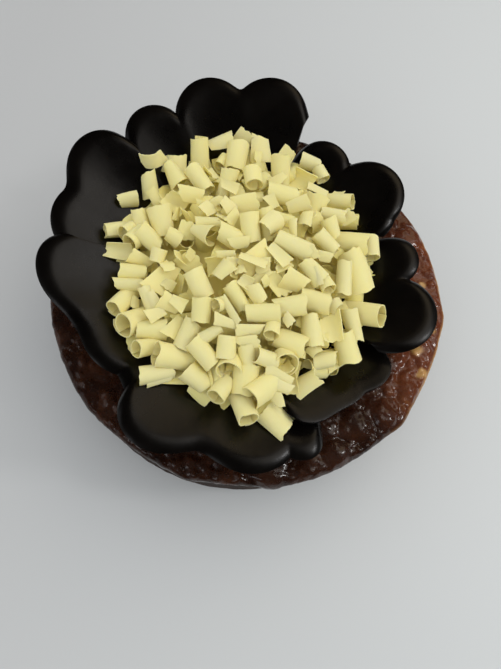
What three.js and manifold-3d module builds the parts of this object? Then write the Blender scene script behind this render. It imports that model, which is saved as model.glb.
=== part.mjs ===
// A round brownie cake: a dense chocolate base, a layer of caramel and nut glaze,
// seven moulded chocolate petals that open like a flower, and a heap of white curls.
// Millimetres, +Z up, the origin at the middle of the base's underside.
import * as THREE from 'three';
import { mergeVertices } from 'three/addons/utils/BufferGeometryUtils.js';
import Module from 'manifold-3d';

// The cake
const cakeRadius = 80;
const cakeHeight = 45;
const glazeDepth = 7;
const glazeCrown = 0.3;
const pieceGap = 0.35;
const baseInset = 0.5;
const baseEdge = 1.2;
const baseSectors = 72;

// The glaze's small runs over the edge as [direction, size], where it stands further out or in
// as [direction, size, width], and its nut lumps
const glazeSectors = 80;
const glazeRuns = [[4, 0.9], [-31, 1.2], [-71, 0.8], [-94, 1.1], [152, 0.8], [68, 0.7]];
const runWidth = 4;
const glazeBulges = [[0, 1.9, 40], [-127, -1.2, 25]];
const nutCount = 42;
const nutSeed = 7;
const nutSize = [3.1, 5.4];
const nutRing = [56, 76.5];
const crowdedShare = 0.62;
const crowdedSide = [-78, 14];
const thinSide = [14, 282];

// The flower of petals, an open bowl round the cake's axis
const petalThickness = 2.8;
const petalRound = 1.2;
const petalColumn = 3.6;
const petalRows = [0, 0.3, 0.6, 0.83, 0.94, 1];
const flowerInnerRadius = 24;
const flowerReach = 78;
const bowlStartRadius = 42;
const rimRiseMean = 21;
const rimRiseSwing = 6;
const rimRiseHighSide = 120;
const bowlCurve = 1.15;
const overlapTilt = 2.6;
const petalCup = 1.6;
const creaseRise = 0.12;
const lipWidth = 5.5;
const lipDrop = 2.2;
const cornerCut = 3;
const petalClearance = 0.6;

// Each petal's name, the angles of its two sides and its round lobes as [direction, reach, radius]
const petals = [
  {
    name: 'petal_back', from: 85, to: 153,
    lobes: [[90.5, 73.5, 11.5], [98, 79.4, 13.5], [117.4, 80.6, 13.5], [138, 77.9, 11.5]],
  },
  { name: 'petal_left_upper', from: 149.8, to: 196, lobes: [[161.4, 79.8, 14.5], [179, 76.3, 14.5]] },
  {
    name: 'petal_left_lower', from: 189.4, to: 248,
    lobes: [[198, 76.8, 15], [207, 70.7, 14], [222.8, 67.9, 13.5], [230, 63.4, 7.5], [241, 65.8, 7]],
  },
  {
    name: 'petal_front', from: 243.2, to: 303.5,
    lobes: [[251.4, 72.6, 10.5], [254.5, 77.5, 13.5], [263.3, 72.1, 17], [281.8, 76.4, 16.5], [297.5, 74.2, 6]],
  },
  {
    name: 'petal_front_right', from: 295.4, to: 343.5, tilt: 4.2, drop: 0.8,
    lobes: [[304.4, 63.7, 12.5], [319.3, 63.6, 14.5], [331.7, 65.8, 8.5]],
  },
  {
    name: 'petal_right_lower', from: 340, to: 394,
    lobes: [[347.6, 65, 8.5], [356, 72.1, 14.5], [378.7, 66.5, 9.5]],
  },
  {
    name: 'petal_right_upper', from: 391.4, to: 443.2,
    lobes: [[400, 62.5, 9], [408.9, 71.8, 13.5], [430.8, 66.8, 11]],
  },
];

// The heap of curls
const heapHeight = 34;
const heapDrop = 15;
const heapRadius = 54;
const coreInset = 2;
const coreRim = 2.2;
const coreDepth = 6;
const coreRings = [0.44, 0.72, 0.92, 1];
const coreSectors = 20;
const curlThickness = 0.8;
const curlSpacing = 2.1;
const curlSink = 1;
const curlPress = 1.2;
const curlTrials = 84;
const curlPlaces = 6;
const uprightShare = 0.12;
const curlOverTop = 2.2;
const heapSeed = 20;

const curlKinds = {
  tube: { radius: [2.6, 3.4], length: [9, 13], arc: [300, 325], sides: 4, skew: 0.25 },
  scroll: { radius: [3, 4.2], length: [8.5, 12], arc: [200, 260], sides: 4, skew: 0.45 },
  shell: { radius: [4.8, 7], length: [8, 12], arc: [110, 160], sides: 3, skew: 0.6 },
  flake: { radius: [8, 13], length: [8, 11.5], arc: [55, 80], sides: 2, skew: 0.8 },
};
const kindShares = [['tube', 0.3], ['scroll', 0.62], ['shell', 0.88], ['flake', 1]];

// Curls that lie at the heap's edge or stand out of it: kind, x, y and the axis's direction
const edgeCurls = [
  ['shell', -49, 33, 88], ['scroll', -52, 14, 30], ['tube', -52, 1, 19], ['tube', -43, -26, 70],
  ['scroll', -37, -33, 35], ['scroll', -24, -50, 30], ['shell', -10, -47, 141], ['scroll', 0, -50, 122],
  ['tube', 10, -55, 112], ['shell', 19, -54, 147], ['scroll', 29, -38, 117], ['tube', 41, -23, 122],
  ['tube', 47, -8, 1], ['tube', 38, 21, 173], ['tube', 29, 37, 14], ['shell', 15, 49, 131],
  ['tube', 2, 47, 98], ['flake', -8, 52, 84], ['tube', -31, 42, 101], ['shell', -23, 50, 178],
];

const degree = Math.PI / 180;
const wasm = await Module();
wasm.setup();

function clamp(value, low, high) {
  return Math.min(high, Math.max(low, value));
}

function between([low, high], share) {
  return low + (high - low) * share;
}

function smoothStep(low, high, value) {
  const t = clamp((value - low) / (high - low), 0, 1);
  return t * t * (3 - 2 * t);
}

// The shortest way round from one direction to another, in degrees
function turnBetween(from, to) {
  return ((((to - from) % 360) + 540) % 360) - 180;
}

function polar(radius, angle, z) {
  return [radius * Math.cos(angle * degree), radius * Math.sin(angle * degree), z];
}

// A repeatable source of numbers from 0 to 1
function makeRandom(seed) {
  let state = seed;
  return () => {
    state = (state * 1664525 + 1013904223) % 4294967296;
    return state / 4294967296;
  };
}

function toSolid(geometry) {
  const bare = new THREE.BufferGeometry();
  bare.setAttribute('position', geometry.getAttribute('position').clone());
  if (geometry.index) bare.setIndex(geometry.index.clone());
  const merged = mergeVertices(bare, 1e-4);
  const mesh = new wasm.Mesh({
    numProp: 3,
    vertProperties: new Float32Array(merged.getAttribute('position').array),
    triVerts: new Uint32Array(merged.index.array),
  });
  return new wasm.Manifold(mesh);
}

function toGeometry(solid) {
  const mesh = solid.getMesh();
  const geometry = new THREE.BufferGeometry();
  geometry.setAttribute('position', new THREE.BufferAttribute(mesh.vertProperties, 3));
  geometry.setIndex(new THREE.BufferAttribute(mesh.triVerts, 1));
  return geometry;
}

function fromPoints(points, faces) {
  const geometry = new THREE.BufferGeometry();
  geometry.setAttribute('position', new THREE.BufferAttribute(new Float32Array(points.flat()), 3));
  geometry.setIndex(faces);
  return geometry;
}

// The two triangles between a pair of points a, b and the pair c, d beyond it
function quad(a, b, c, d) {
  return [a, c, b, b, c, d];
}

// A closed solid over rings of points, with a middle point at each end
function closeRings(first, rings, last) {
  const points = [first, ...rings.flat(), last];
  const sectors = rings[0].length;
  const lastRing = points.length - 1 - sectors;
  const faces = [];
  for (let i = 0; i < sectors; i += 1) {
    const j = (i + 1) % sectors;
    faces.push(0, 1 + i, 1 + j);
    for (let start = 1; start < lastRing; start += sectors) {
      faces.push(...quad(start + i, start + j, start + sectors + i, start + sectors + j));
    }
    faces.push(lastRing + i, points.length - 1, lastRing + j);
  }
  return fromPoints(points, faces);
}

function makeRing(sectors, place) {
  return Array.from({ length: sectors }, (unused, i) => place((360 * i) / sectors));
}

function makeMesh(name, geometry, color, roughness) {
  const material = new THREE.MeshStandardMaterial({ color, roughness, metalness: 0 });
  const mesh = new THREE.Mesh(geometry, material);
  geometry.computeVertexNormals();
  mesh.name = name;
  return mesh;
}

// Brownie base: an upright disc, its lower edge slightly rounded
function makeBase() {
  const side = cakeRadius - baseInset;
  const top = cakeHeight - glazeDepth - pieceGap;
  const outline = [[side, top], [side, baseEdge], [side - baseEdge, 0]];
  const rings = outline.map(([radius, z]) => makeRing(baseSectors, (angle) => polar(radius, angle, z)));
  return closeRings([0, 0, top], rings, [0, 0, 0]);
}

// How far the glaze reaches at an angle: slightly uneven, with its runs over the edge
function glazeReach(angle) {
  let reach = cakeRadius + 0.35 * Math.sin(5 * angle * degree) + 0.25 * Math.sin(11 * angle * degree + 1);
  for (const [direction, size] of glazeRuns) {
    reach += size * Math.exp(-((turnBetween(direction, angle) / runWidth) ** 2));
  }
  for (const [direction, size, width] of glazeBulges) {
    reach += size * Math.exp(-((turnBetween(direction, angle) / width) ** 2));
  }
  return reach;
}

function makeNut(random) {
  const crowded = random() < crowdedShare;
  const angle = between(crowded ? crowdedSide : thinSide, random());
  const radius = between(nutRing, Math.sqrt(random()));
  const size = between(nutSize, random());
  const nut = new THREE.IcosahedronGeometry(size, 0);
  nut.scale(1, 0.75 + 0.25 * random(), 0.62);
  nut.rotateZ(2 * Math.PI * random());
  const sink = size * (0.12 + 0.25 * random());
  nut.translate(...polar(radius, angle, cakeHeight - sink));
  return nut;
}

// Glaze: a disc with a soft rim, lumpy with chopped nuts
function makeGlaze() {
  const outline = [[0.96, -0.1], [0.99, -1.5], [1, -3.4], [0.994, -glazeDepth]];
  const rings = outline.map(([share, drop]) => (
    makeRing(glazeSectors, (angle) => polar(share * glazeReach(angle), angle, cakeHeight + drop))
  ));
  const top = [0, 0, cakeHeight + glazeCrown];
  const random = makeRandom(nutSeed);
  let glaze = toSolid(closeRings(top, rings, [0, 0, cakeHeight - glazeDepth]));
  for (let i = 0; i < nutCount; i += 1) glaze = glaze.add(toSolid(makeNut(random)));
  return toGeometry(glaze);
}

// How far a petal's wall reaches at an angle, short of its round edge: its lobes, joined softly
function petalReach(petal, angle) {
  const blendPower = 26;
  let total = 0;
  for (const [direction, reach, radius] of petal.lobes) {
    const away = (angle - direction) * degree;
    const centre = reach - radius;
    const across = centre * Math.sin(away);
    const rest = radius * radius - across * across;
    const edge = centre * Math.cos(away) + Math.sqrt(Math.max(0, rest));
    if (edge > 0) total += edge ** blendPower;
  }
  return total ** (1 / blendPower) - petalRound;
}

// The share of its full angle that a petal takes up: less at its foot
function petalSpread(along) {
  return 0.62 + 0.38 * smoothStep(0, 0.7, along);
}

// The bowl that all petals follow, as the height of their middle surface
function bowlHeight(radius, angle) {
  const rise = rimRiseMean + rimRiseSwing * Math.cos((angle - rimRiseHighSide) * degree);
  const out = Math.max(0, (radius - flowerInnerRadius) / (flowerReach - flowerInnerRadius));
  return cakeHeight + pieceGap + 0.4 + petalThickness / 2 + rise * out ** bowlCurve;
}

// A point of a petal's middle surface: across runs from -1 to 1, along from its foot to its rim
function petalPoint(petal, across, along) {
  const middle = (petal.from + petal.to) / 2;
  const half = (petal.to - petal.from) / 2;
  const reach = petalReach(petal, middle + half * across) - cornerCut * across ** 12;
  const radius = flowerInnerRadius + (reach - flowerInnerRadius) * along;
  const angle = middle + half * across * petalSpread(along);
  const outward = smoothStep(flowerInnerRadius, bowlStartRadius, radius);
  const furthest = Math.max(...petal.lobes.map((lobe) => lobe[1])) - petalRound;
  const notch = Math.min(7, furthest - reach) * (1 - across ** 4);
  const cup = across < 0 ? petalCup : 0.2 * petalCup;
  const lip = Math.max(0, 1 - ((1 - along) * (reach - flowerInnerRadius)) / lipWidth);
  const tilt = petal.tilt ?? overlapTilt;
  const lift = cup * across * across - tilt * across + creaseRise * notch * along;
  const z = bowlHeight(radius, angle) + lift * outward - (petal.drop ?? lipDrop) * lip * lip;
  return new THREE.Vector3(...polar(radius, angle, z));
}

function petalNormal(petal, across, along) {
  const step = 0.01;
  const side = petalPoint(petal, Math.min(1, across + step), along)
    .sub(petalPoint(petal, Math.max(-1, across - step), along));
  const out = petalPoint(petal, across, Math.min(1, along + step))
    .sub(petalPoint(petal, across, Math.max(0, along - step)));
  return out.cross(side).normalize();
}

// The grid a petal is built on: its middle points and the steps from there to its upper face
function petalGrid(petal, columns, margin) {
  const sideTurn = 0.48 * Math.PI;
  const grid = [];
  for (const along of petalRows) {
    for (let i = 0; i <= columns; i += 1) {
      const across = Math.sin(sideTurn * ((2 * i) / columns - 1)) / Math.sin(sideTurn);
      const normal = petalNormal(petal, across, along).multiplyScalar(petalThickness / 2 + margin);
      grid.push({ middle: petalPoint(petal, across, along), normal });
    }
  }
  return grid;
}

// The places of that grid round the petal's outline, in order
function petalBorder(columns) {
  const width = columns + 1;
  const last = petalRows.length - 1;
  const border = [];
  for (let i = 0; i < columns; i += 1) border.push(i);
  for (let row = 0; row < last; row += 1) border.push(row * width + columns);
  for (let i = columns; i > 0; i -= 1) border.push(last * width + i);
  for (let row = last; row > 0; row -= 1) border.push(row * width);
  return border;
}

// Petal: two faces and a round edge, one line of points pushed out from the wall's middle
function makePetal(petal, margin = 0) {
  const columns = Math.round((petal.to - petal.from) / petalColumn);
  const grid = petalGrid(petal, columns, margin);
  const border = petalBorder(columns);
  const edge = border.map((place, i) => {
    const before = grid[border[(i + border.length - 1) % border.length]].middle;
    const after = grid[border[(i + 1) % border.length]].middle;
    const out = grid[place].normal.clone().cross(after.clone().sub(before)).normalize();
    return out.multiplyScalar(petalRound + 2 * margin).add(grid[place].middle);
  });
  const upper = grid.map((cell) => cell.middle.clone().add(cell.normal));
  const lower = grid.map((cell) => cell.middle.clone().sub(cell.normal));
  const points = [...upper, ...lower, ...edge].map((point) => point.toArray());
  const count = grid.length;
  const width = columns + 1;
  const faces = [];
  for (let a = 0; a + width < count; a += 1) {
    if (a % width === columns) continue;
    faces.push(...quad(a, a + 1, a + width, a + width + 1));
    faces.push(...quad(count + a + 1, count + a, count + a + width + 1, count + a + width));
  }
  border.forEach((place, i) => {
    const j = (i + 1) % border.length;
    faces.push(...quad(border[j], place, 2 * count + j, 2 * count + i));
    faces.push(...quad(2 * count + j, 2 * count + i, count + border[j], count + place));
  });
  return fromPoints(points, faces);
}

// The height of the uppermost petal at a place, or of the glaze where no petal lies
function petalTop(radius, angle) {
  let top = cakeHeight + glazeCrown;
  for (const petal of petals) {
    const middle = (petal.from + petal.to) / 2;
    const half = (petal.to - petal.from) / 2;
    const turn = turnBetween(middle, angle);
    if (Math.abs(turn) > half) continue;
    let across = turn / half;
    let along = 0;
    for (let pass = 0; pass < 3; pass += 1) {
      const reach = petalReach(petal, middle + half * clamp(across, -1, 1));
      along = (radius - flowerInnerRadius) / (reach - flowerInnerRadius);
      across = turn / (half * petalSpread(along));
    }
    if (Math.abs(across) > 1 || along < 0 || along > 1) continue;
    top = Math.max(top, petalPoint(petal, across, along).z + 0.6 * petalThickness);
  }
  return top;
}

function heapEdge(angle) {
  const swell = [[3.6, 1, 183], [3.2, 2, 114], [1.5, 3, 33]];
  return swell.reduce(
    (sum, [size, waves, direction]) => sum + size * Math.cos(waves * (angle - direction) * degree),
    heapRadius,
  );
}

function heapTop(radius, angle) {
  return cakeHeight + heapHeight - heapDrop * (radius / heapEdge(angle)) ** 2;
}

// The core's underside: just above the highest petal nearby
function coreFloor(radius, angle) {
  return pieceGap + Math.max(...[-5, 0, 5].map((turn) => petalTop(radius, angle + turn)));
}

function coreTop(radius, angle) {
  const floor = coreFloor(radius, angle);
  const share = Math.min(1, radius / (heapEdge(angle) - coreInset));
  const dome = heapTop(radius, angle) - coreDepth - floor;
  return floor + Math.max(coreRim, dome * (1 - share ** 6));
}

// A curl's axis lies along x, and the middle of its arc is at +z until it is rolled
function makeCurl(kind, random) {
  const form = curlKinds[kind];
  const curl = {
    kind,
    radius: between(form.radius, random()),
    length: between(form.length, random()),
    arc: between(form.arc, random()) * degree,
    skewStart: form.skew * (2 * random() - 1),
    skewEnd: form.skew * (2 * random() - 1),
    yaw: 2 * Math.PI * random(),
    pitch: 0,
  };
  const turned = random();
  const round = kind === 'tube' || kind === 'scroll';
  curl.roll = round ? 2 * Math.PI * turned : (turned < 0.6 ? 0 : Math.PI) + 0.9 * (random() - 0.5);
  return curl;
}

// From a curl's own frame to the cake's axes, without its place
function turnCurl(curl, [x, y, z]) {
  const forward = x * Math.cos(curl.pitch) - z * Math.sin(curl.pitch);
  const up = x * Math.sin(curl.pitch) + z * Math.cos(curl.pitch);
  const [cosYaw, sinYaw] = [Math.cos(curl.yaw), Math.sin(curl.yaw)];
  return [forward * cosYaw - y * sinYaw, forward * sinYaw + y * cosYaw, up];
}

// Points of a curl that can touch what lies below it: five round the arc at each of three places
function curlProbes(curl) {
  const probes = [];
  for (const end of [-0.42, 0, 0.42]) {
    for (const share of [-1, -0.5, 0, 0.5, 1]) {
      const angle = curl.roll + (curl.arc / 2) * share;
      probes.push([end * curl.length, curl.radius * Math.sin(angle), curl.radius * Math.cos(angle)]);
    }
  }
  return probes;
}

function supportHeight(x, y, grains) {
  const radius = Math.hypot(x, y);
  const angle = Math.atan2(y, x) / degree;
  const onCore = radius < heapEdge(angle) - coreInset;
  let height = onCore ? coreTop(radius, angle) - curlSink : petalTop(radius, angle) + pieceGap;
  for (const grain of grains) {
    const left = curlSpacing ** 2 - (grain[0] - x) ** 2 - (grain[1] - y) ** 2;
    if (left > 0) height = Math.max(height, grain[2] + Math.sqrt(left));
  }
  return height;
}

function restHeight(curl, x, y, probes, grains) {
  const heights = probes.map((probe) => {
    const [dx, dy, dz] = turnCurl(curl, probe);
    return supportHeight(x + dx, y + dy, grains) - dz;
  });
  return Math.max(...heights);
}

// Lays a curl at a place: unless it stands up, it tips along its axis until both ends rest
function settle(curl, x, y, grains) {
  const probes = curlProbes(curl);
  if (curl.pitch === 0) {
    const back = restHeight(curl, x, y, probes.slice(0, 5), grains);
    const front = restHeight(curl, x, y, probes.slice(10), grains);
    curl.pitch = clamp(Math.atan2(front - back, 0.84 * curl.length), -0.6, 0.6);
  }
  const z = restHeight(curl, x, y, probes, grains) - curlPress;
  const crown = Math.max(...probes.map((probe) => turnCurl(curl, probe)[2]));
  const room = heapTop(Math.hypot(x, y), Math.atan2(y, x) / degree) - z - crown;
  return { ...curl, x, y, z, room };
}

// Tries a curl at a few places and takes the one furthest from the curls already there
function findPlace(curl, random, curls, grains) {
  let best = null;
  for (let i = 0; i < curlPlaces; i += 1) {
    const angle = 360 * random();
    const radius = (heapEdge(angle) - 4) * Math.sqrt(random());
    const [x, y] = polar(radius, angle, 0);
    const laid = settle({ ...curl }, x, y, grains);
    if (laid.room < -curlOverTop) continue;
    laid.apart = Math.min(...curls.map((other) => Math.hypot(x - other.x, y - other.y, laid.z - other.z)));
    if (!best || laid.apart > best.apart) best = laid;
  }
  return best;
}

function pileCurls() {
  const random = makeRandom(heapSeed);
  const grains = [];
  const curls = [];
  const keep = (curl) => {
    curls.push(curl);
    for (const probe of curlProbes(curl)) {
      const [dx, dy, dz] = turnCurl(curl, probe);
      grains.push([curl.x + dx, curl.y + dy, curl.z + dz]);
    }
  };
  for (const [kind, x, y, direction] of edgeCurls) {
    const curl = makeCurl(kind, random);
    curl.yaw = direction * degree;
    keep(settle(curl, x, y, []));
  }
  for (let trial = 0; trial < curlTrials; trial += 1) {
    const draw = random();
    const curl = makeCurl(kindShares.find((row) => draw < row[1])[0], random);
    if (random() < uprightShare) curl.pitch = 0.75 + 0.6 * random();
    const laid = findPlace(curl, random, curls, grains);
    if (laid) keep(laid);
  }
  return curls;
}

// A few-sided curl: an arc-shaped section drawn out along x, its ends cut aslant
function curlSolid(curl) {
  const { sides } = curlKinds[curl.kind];
  const arcPoints = (radius) => Array.from({ length: sides + 1 }, (unused, i) => {
    const angle = curl.roll + (curl.arc / 2) * ((2 * i) / sides - 1);
    return new THREE.Vector2(radius * Math.sin(angle), radius * Math.cos(angle));
  });
  const outer = arcPoints(curl.radius + curlThickness / 2);
  const inner = arcPoints(curl.radius - curlThickness / 2);
  const section = new THREE.Shape([...outer, ...inner.reverse()]);
  const drawn = new THREE.ExtrudeGeometry(section, { depth: curl.length, bevelEnabled: false, steps: 1 });
  const position = drawn.getAttribute('position');
  const most = 0.4 * curl.length;
  for (let i = 0; i < position.count; i += 1) {
    const [y, z] = [position.getX(i), position.getY(i)];
    const atEnd = position.getZ(i) > curl.length / 2;
    const skew = clamp((atEnd ? curl.skewEnd : curl.skewStart) * y, -most, most);
    const [dx, dy, dz] = turnCurl(curl, [position.getZ(i) - curl.length / 2 + skew, y, z]);
    position.setXYZ(i, curl.x + dx, curl.y + dy, curl.z + dz);
  }
  return toSolid(drawn);
}

// The heap's inside: a low dome over the bowl of petals
function makeCore() {
  const ring = (share, height) => makeRing(coreSectors, (angle) => {
    const radius = share * (heapEdge(angle) - coreInset);
    return polar(radius, angle, height(radius, angle));
  });
  const over = coreRings.map((share) => ring(share, coreTop));
  const under = coreRings.map((share) => ring(share, coreFloor)).reverse();
  return toSolid(closeRings([0, 0, coreTop(0, 0)], [...over, ...under], [0, 0, coreFloor(0, 0)]));
}

// The heap: core and curls in one, clear of the petals, without what comes loose
function makeHeap() {
  let heap = makeCore();
  for (const curl of pileCurls()) heap = heap.add(curlSolid(curl));
  for (const petal of petals) heap = heap.subtract(toSolid(makePetal(petal, petalClearance)));
  const pieces = heap.decompose().sort((a, b) => b.volume() - a.volume());
  return toGeometry(pieces[0]);
}

const cake = new THREE.Group();
cake.add(makeMesh('brownie_base', makeBase(), 0x3b2117, 0.7));
cake.add(makeMesh('nut_glaze', makeGlaze(), 0x4b2015, 0.25));
for (const petal of petals) {
  cake.add(makeMesh(petal.name, makePetal(petal), 0x1d1614, 0.35));
}
cake.add(makeMesh('curl_heap', makeHeap(), 0xe9e3b4, 0.5));

export default cake;
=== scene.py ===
# A round brownie cake with a nut glaze, a flower of dark chocolate petals and white curls.
# Sizes in the dictionaries are millimetres and degrees, seen from the middle of the underside.
import math
import random

import bpy
import numpy as np
from mathutils import Matrix, Vector, noise
from mathutils.bvhtree import BVHTree


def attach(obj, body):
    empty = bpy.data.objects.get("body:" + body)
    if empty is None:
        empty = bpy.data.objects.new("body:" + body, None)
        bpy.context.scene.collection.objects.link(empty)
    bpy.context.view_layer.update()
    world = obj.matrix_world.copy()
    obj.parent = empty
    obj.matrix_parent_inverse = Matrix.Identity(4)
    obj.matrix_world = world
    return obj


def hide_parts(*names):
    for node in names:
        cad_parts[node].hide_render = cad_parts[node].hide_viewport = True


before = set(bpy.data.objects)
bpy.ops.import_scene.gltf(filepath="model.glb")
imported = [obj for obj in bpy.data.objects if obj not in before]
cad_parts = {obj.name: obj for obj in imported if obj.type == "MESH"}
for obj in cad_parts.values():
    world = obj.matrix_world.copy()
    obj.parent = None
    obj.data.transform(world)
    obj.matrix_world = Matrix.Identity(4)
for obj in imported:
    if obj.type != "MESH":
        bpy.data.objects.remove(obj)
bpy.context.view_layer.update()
mm = 0.001


# small helpers used by every piece

def smoothStep(low, high, value):
    t = min(1, max(0, (value - low) / (high - low)))
    return t * t * (3 - 2 * t)


def turnBetween(start, end):
    return (end - start + 180) % 360 - 180


def polar(radius, angle, z):
    return (radius * math.cos(math.radians(angle)), radius * math.sin(math.radians(angle)), z)


def startPiece(name):
    piece = bpy.context.object
    piece.name = name
    piece.data.name = name
    return piece


def shapedGrid(name, columns, rows, place):
    # a flat grid, each point of which then goes to its place; u and v run from -1 to 1
    bpy.ops.object.select_all(action="DESELECT")
    bpy.ops.mesh.primitive_grid_add(x_subdivisions=columns, y_subdivisions=rows, size=2)
    piece = startPiece(name)
    for point in piece.data.vertices:
        point.co = Vector(place(point.co.x, point.co.y)) * mm
    return piece


def shapedRound(name, sectors, rings, place):
    # a ball, drawn out ring by ring into a disc-like form: place(angle, ring)
    bpy.ops.object.select_all(action="DESELECT")
    bpy.ops.mesh.primitive_uv_sphere_add(segments=sectors, ring_count=rings, radius=1)
    piece = startPiece(name)
    for point in piece.data.vertices:
        height = min(1, max(-1, point.co.z))
        ring = round(math.acos(height) / math.pi * rings)
        angle = math.degrees(math.atan2(point.co.y, point.co.x))
        point.co = Vector(place(angle, ring)) * mm
    return piece


def applyModifier(piece, kind, **settings):
    bpy.ops.object.select_all(action="DESELECT")
    bpy.context.view_layer.objects.active = piece
    piece.select_set(True)
    modifier = piece.modifiers.new(kind.lower(), kind)
    for setting, value in settings.items():
        setattr(modifier, setting, value)
    bpy.ops.object.modifier_apply(modifier=modifier.name)


def shadeSmooth(piece):
    bpy.ops.object.select_all(action="DESELECT")
    bpy.context.view_layer.objects.active = piece
    piece.select_set(True)
    bpy.ops.object.shade_smooth()


def pointValues(piece, name, values):
    layer = piece.data.attributes.new(name, "FLOAT", "POINT")
    layer.data.foreach_set("value", np.asarray(values, np.float32))


def dressPiece(piece, material, slot, *nodes):
    piece.data.materials.clear()
    piece.data.materials.append(material)
    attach(piece, "root")
    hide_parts(*nodes)


# materials

def newMaterial(name, **settings):
    material = bpy.data.materials.new(name)
    material.use_nodes = True
    tree = material.node_tree
    shader = tree.nodes["Principled BSDF"]
    for socket, value in settings.items():
        shader.inputs[socket.replace("_", " ")].default_value = value
    return material, tree, shader


def addNode(tree, kind, **settings):
    node = tree.nodes.new(kind)
    for setting, value in settings.items():
        setattr(node, setting, value)
    return node


def noiseNode(tree, coordinates, scale, detail=3.0, roughness=0.5, distortion=0.0):
    node = addNode(tree, "ShaderNodeTexNoise")
    node.inputs["Scale"].default_value = scale
    node.inputs["Detail"].default_value = detail
    node.inputs["Roughness"].default_value = roughness
    node.inputs["Distortion"].default_value = distortion
    tree.links.new(coordinates, node.inputs["Vector"])
    return node.outputs["Fac"]


def rampNode(tree, value, *stops):
    # stops are (position, colour) with the colour as three numbers or one grey
    node = addNode(tree, "ShaderNodeValToRGB")
    elements = node.color_ramp.elements
    while len(elements) < len(stops):
        elements.new(0.5)
    for element, (position, colour) in zip(elements, stops):
        element.position = position
        rgb = colour if isinstance(colour, tuple) else (colour, colour, colour)
        element.color = (*rgb, 1)
    tree.links.new(value, node.inputs["Fac"])
    return node.outputs["Color"]


def mixNode(tree, share, first, second):
    node = addNode(tree, "ShaderNodeMix", data_type="RGBA")
    colourA, colourB = [socket for socket in node.inputs if socket.type == "RGBA"]
    for socket, value in ((node.inputs[0], share), (colourA, first), (colourB, second)):
        if isinstance(value, tuple):
            socket.default_value = (*value, 1)
        elif isinstance(value, (int, float)):
            socket.default_value = value
        else:
            tree.links.new(value, socket)
    return [socket for socket in node.outputs if socket.type == "RGBA"][0]


def bumpNode(tree, height, distance, strength=1.0, before=None):
    node = addNode(tree, "ShaderNodeBump")
    node.inputs["Strength"].default_value = strength
    node.inputs["Distance"].default_value = distance * mm
    tree.links.new(height, node.inputs["Height"])
    if before is not None:
        tree.links.new(before, node.inputs["Normal"])
    return node.outputs["Normal"]


def valueOf(tree, name):
    return addNode(tree, "ShaderNodeAttribute", attribute_name=name).outputs["Fac"]


# the camera, at the photograph's angle

viewPoint = {
    "place": (5.3, -91.9, 231.9),
    "below": 69.31,  # how far it looks below the horizon
    "roll": 13.32,
    "lens": 27.0,
}


def makeCamera():
    bpy.ops.object.camera_add()
    camera = bpy.context.object
    camera.name = "camera"
    below, roll = math.radians(viewPoint["below"]), math.radians(viewPoint["roll"])
    camera.matrix_world = (
        Matrix.Translation(Vector(viewPoint["place"]) * mm)
        @ Matrix.Rotation(math.pi / 2 - below, 4, "X")
        @ Matrix.Rotation(roll, 4, "Z")
    )
    camera.data.lens = viewPoint["lens"]
    camera.data.clip_start = 0.01
    bpy.context.scene.camera = camera


makeCamera()
print("camera set")


# the cake's own sizes, which the pieces share

cake = {"radius": 80, "height": 45, "glazeDepth": 7, "crown": 0.3, "gap": 0.35}

flower = {
    "thickness": 2.8,
    "round": 1.2,
    "innerRadius": 24,
    "reach": 78,
    "startRadius": 42,
    "riseMean": 21,
    "riseSwing": 6,
    "highSide": 120,
    "curve": 1.15,
    "tilt": 2.6,
    "cup": 1.6,
    "crease": 0.12,
    "deepest": 7,
    "corner": 3,
    "lipWidth": 5.5,
    "lipDrop": 2.2,
    "lobeBlend": 26,
    "clearance": 0.4,
    "footWidth": 0.62,
    "farCup": 0.2,
    "wave": 0.35,
    "waveLength": (17, 19),
    "columns": 84,
    "rows": 40,
    # from and to are the angles of a petal's sides, lobes are (direction, reach, radius)
    "petals": {
        "petal_back": {
            "from": 85, "to": 153,
            "lobes": [(90.5, 73.5, 11.5), (98, 79.4, 13.5), (117.4, 80.6, 13.5), (138, 77.9, 11.5)],
        },
        "petal_left_upper": {"from": 149.8, "to": 196, "lobes": [(161.4, 79.8, 14.5), (179, 76.3, 14.5)]},
        "petal_left_lower": {
            "from": 189.4, "to": 248,
            "lobes": [
                (198, 76.8, 15), (207, 70.7, 14), (222.8, 67.9, 13.5), (230, 63.4, 7.5), (241, 65.8, 7),
            ],
        },
        "petal_front": {
            "from": 243.2, "to": 303.5,
            "lobes": [
                (251.4, 72.6, 10.5), (254.5, 77.5, 13.5), (263.3, 72.1, 17), (281.8, 76.4, 16.5),
                (297.5, 74.2, 6),
            ],
        },
        "petal_front_right": {
            "from": 295.4, "to": 343.5, "tilt": 4.2, "drop": 0.8,
            "lobes": [(304.4, 63.7, 12.5), (319.3, 63.6, 14.5), (331.7, 65.8, 8.5)],
        },
        "petal_right_lower": {
            "from": 340, "to": 394,
            "lobes": [(347.6, 65, 8.5), (356, 72.1, 14.5), (378.7, 66.5, 9.5)],
        },
        "petal_right_upper": {
            "from": 391.4, "to": 443.2,
            "lobes": [(400, 62.5, 9), (408.9, 71.8, 13.5), (430.8, 66.8, 11)],
        },
    },
}


def petalReach(petal, angle):
    total = 0
    for direction, reach, radius in petal["lobes"]:
        away = math.radians(angle - direction)
        across = (reach - radius) * math.sin(away)
        edge = (reach - radius) * math.cos(away) + math.sqrt(max(0, radius**2 - across**2))
        total += max(0, edge) ** flower["lobeBlend"]
    return total ** (1 / flower["lobeBlend"])


def bowlHeight(radius, angle):
    rise = flower["riseMean"] + flower["riseSwing"] * math.cos(math.radians(angle - flower["highSide"]))
    out = max(0, (radius - flower["innerRadius"]) / (flower["reach"] - flower["innerRadius"]))
    foot = cake["height"] + cake["gap"] + flower["clearance"] + flower["thickness"] / 2
    return foot + rise * out ** flower["curve"]


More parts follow.
